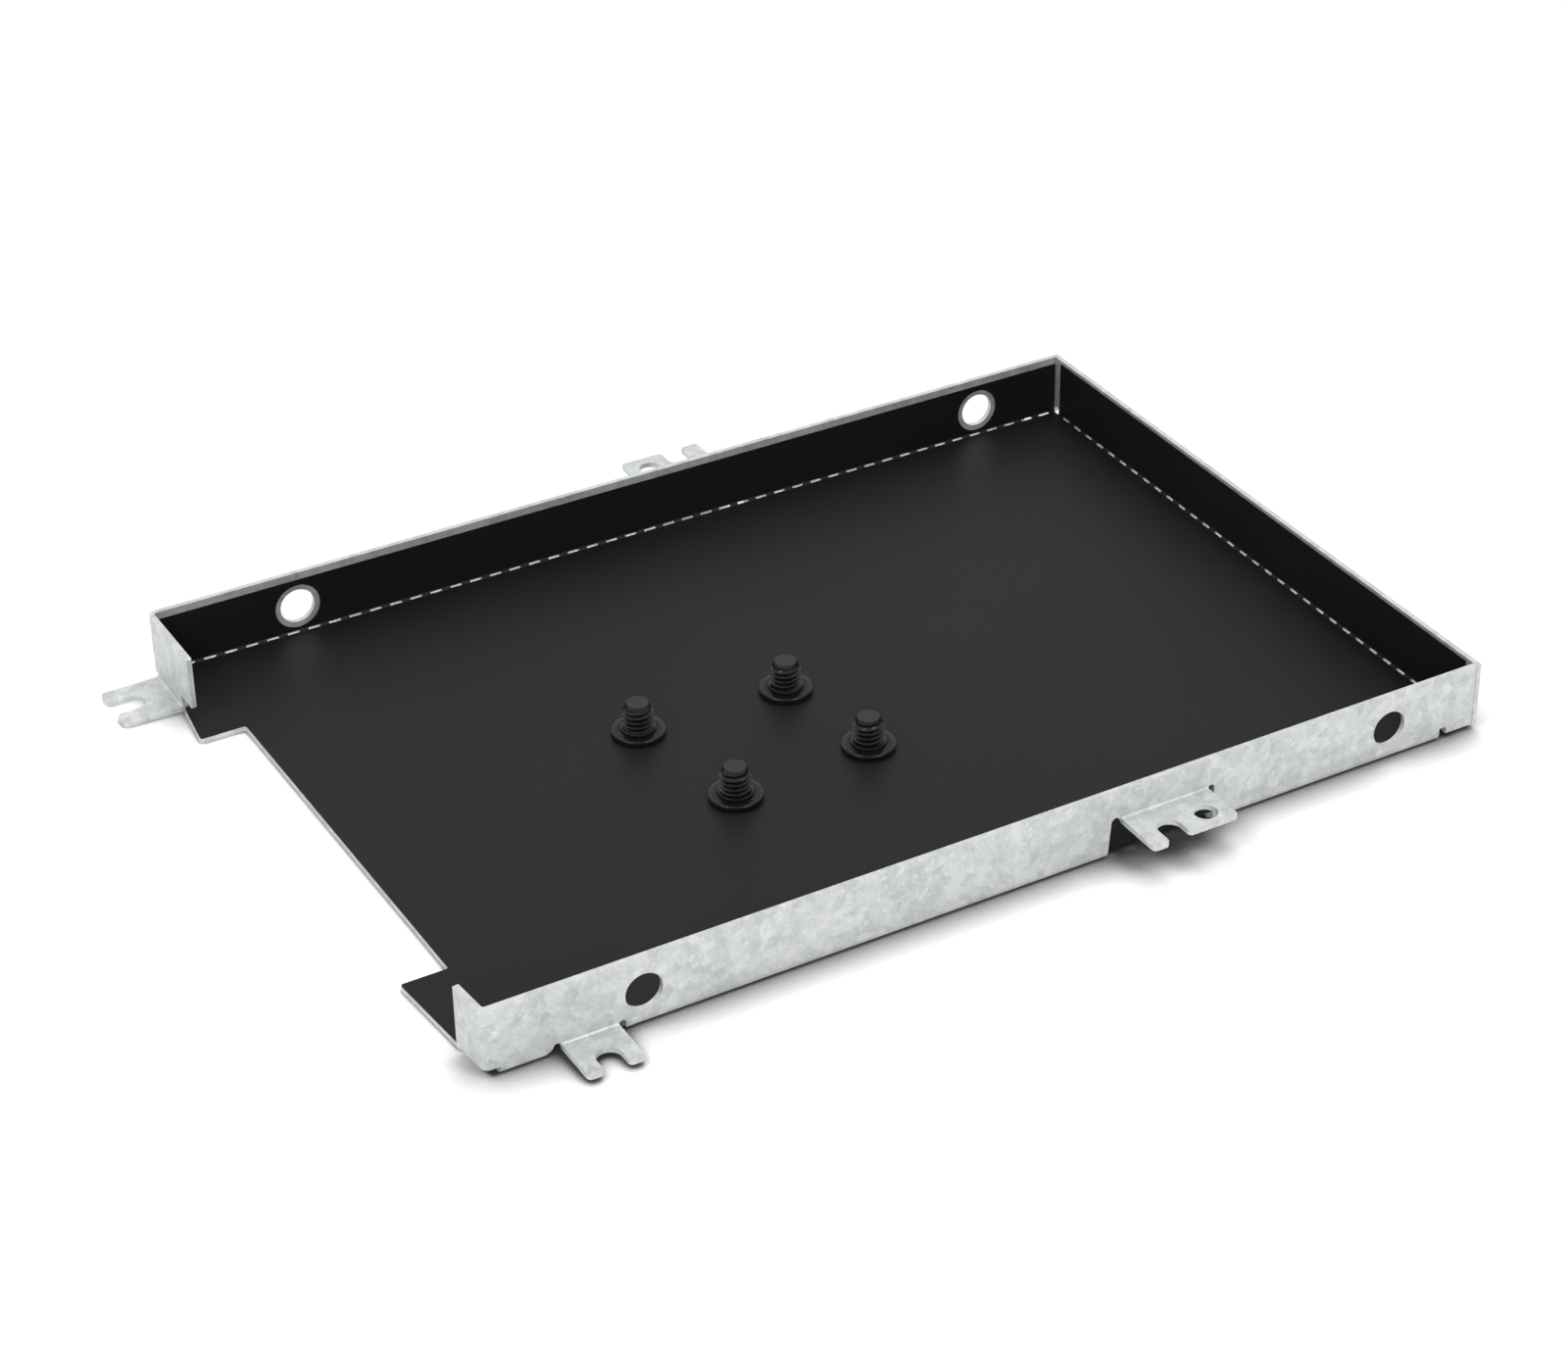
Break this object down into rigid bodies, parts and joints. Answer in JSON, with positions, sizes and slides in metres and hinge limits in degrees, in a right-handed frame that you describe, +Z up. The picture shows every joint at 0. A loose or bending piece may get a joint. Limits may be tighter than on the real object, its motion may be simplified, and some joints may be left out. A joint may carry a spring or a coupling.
{
  "type": "laptop hard drive caddy",
  "caption": "Shallow folded sheet tray for a laptop drive, with slotted mounting ears, a black insulating film inside and loose drive screws on it.",
  "frame": {"origin": "middle of the side screw hole pattern, on the underside of the floor", "axes": "+X along the long side towards the closed end, +Y across towards the wall with one middle ear, +Z up out of the open tray"},
  "size_m": [0.1073, 0.084, 0.007],
  "materials": {
    "galvanised_steel": "zinc coated, faintly spangled, semi-gloss",
    "black_film": "matte black film",
    "black_screw_steel": "black coated, satin"
  },
  "bodies": {
    "root": {"tray": "galvanised_steel", "insulating_film": "black_film", "drive_screws": "black_screw_steel"}
  },
  "joints": []
}
